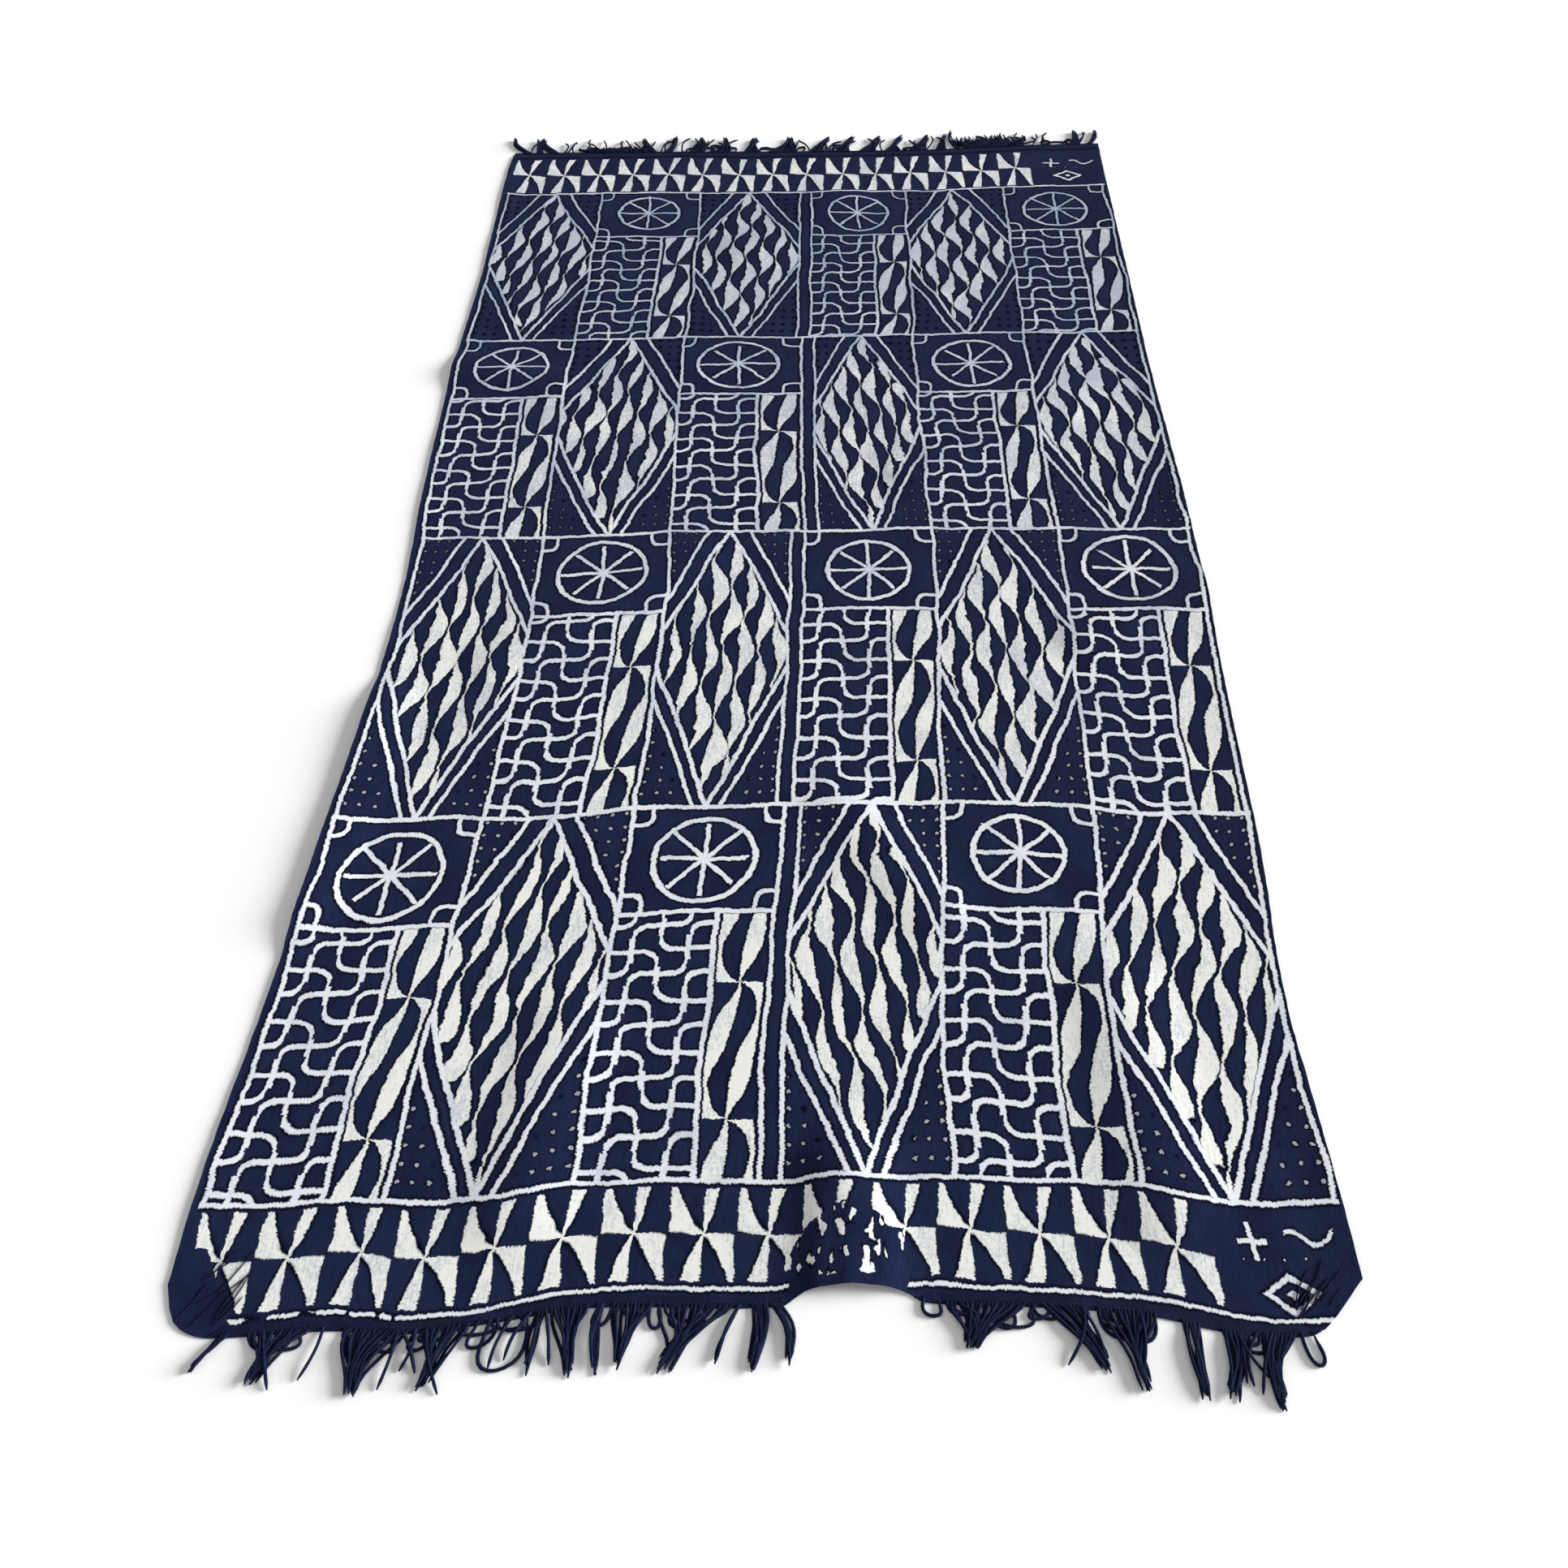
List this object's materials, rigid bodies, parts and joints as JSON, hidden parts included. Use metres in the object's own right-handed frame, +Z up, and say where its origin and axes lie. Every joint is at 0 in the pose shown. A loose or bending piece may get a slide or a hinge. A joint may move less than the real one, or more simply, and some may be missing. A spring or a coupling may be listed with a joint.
{
  "type": "fringed resist-dyed cloth",
  "caption": "Rectangular indigo resist-dyed cotton cloth laid flat, with wavy hems, a small buckle at one end and tufted warp fringe along both ends.",
  "frame": {"origin": "middle of the laid cloth's outline, fringe included, on the surface it lies on", "axes": "+Y along the cloth towards the end without the buckle, +X across it, +Z up from its dyed face"},
  "size_m": [0.9964, 2.022, 0.0125],
  "materials": {
    "dyed_cotton": "matt handwoven cotton, indigo with undyed white pattern",
    "fringe_yarn": "matt indigo cotton yarn"
  },
  "bodies": {
    "root": {"cloth": "dyed_cotton", "fringe_near_left": "fringe_yarn", "fringe_near_right": "fringe_yarn", "fringe_far": "fringe_yarn"}
  },
  "joints": []
}
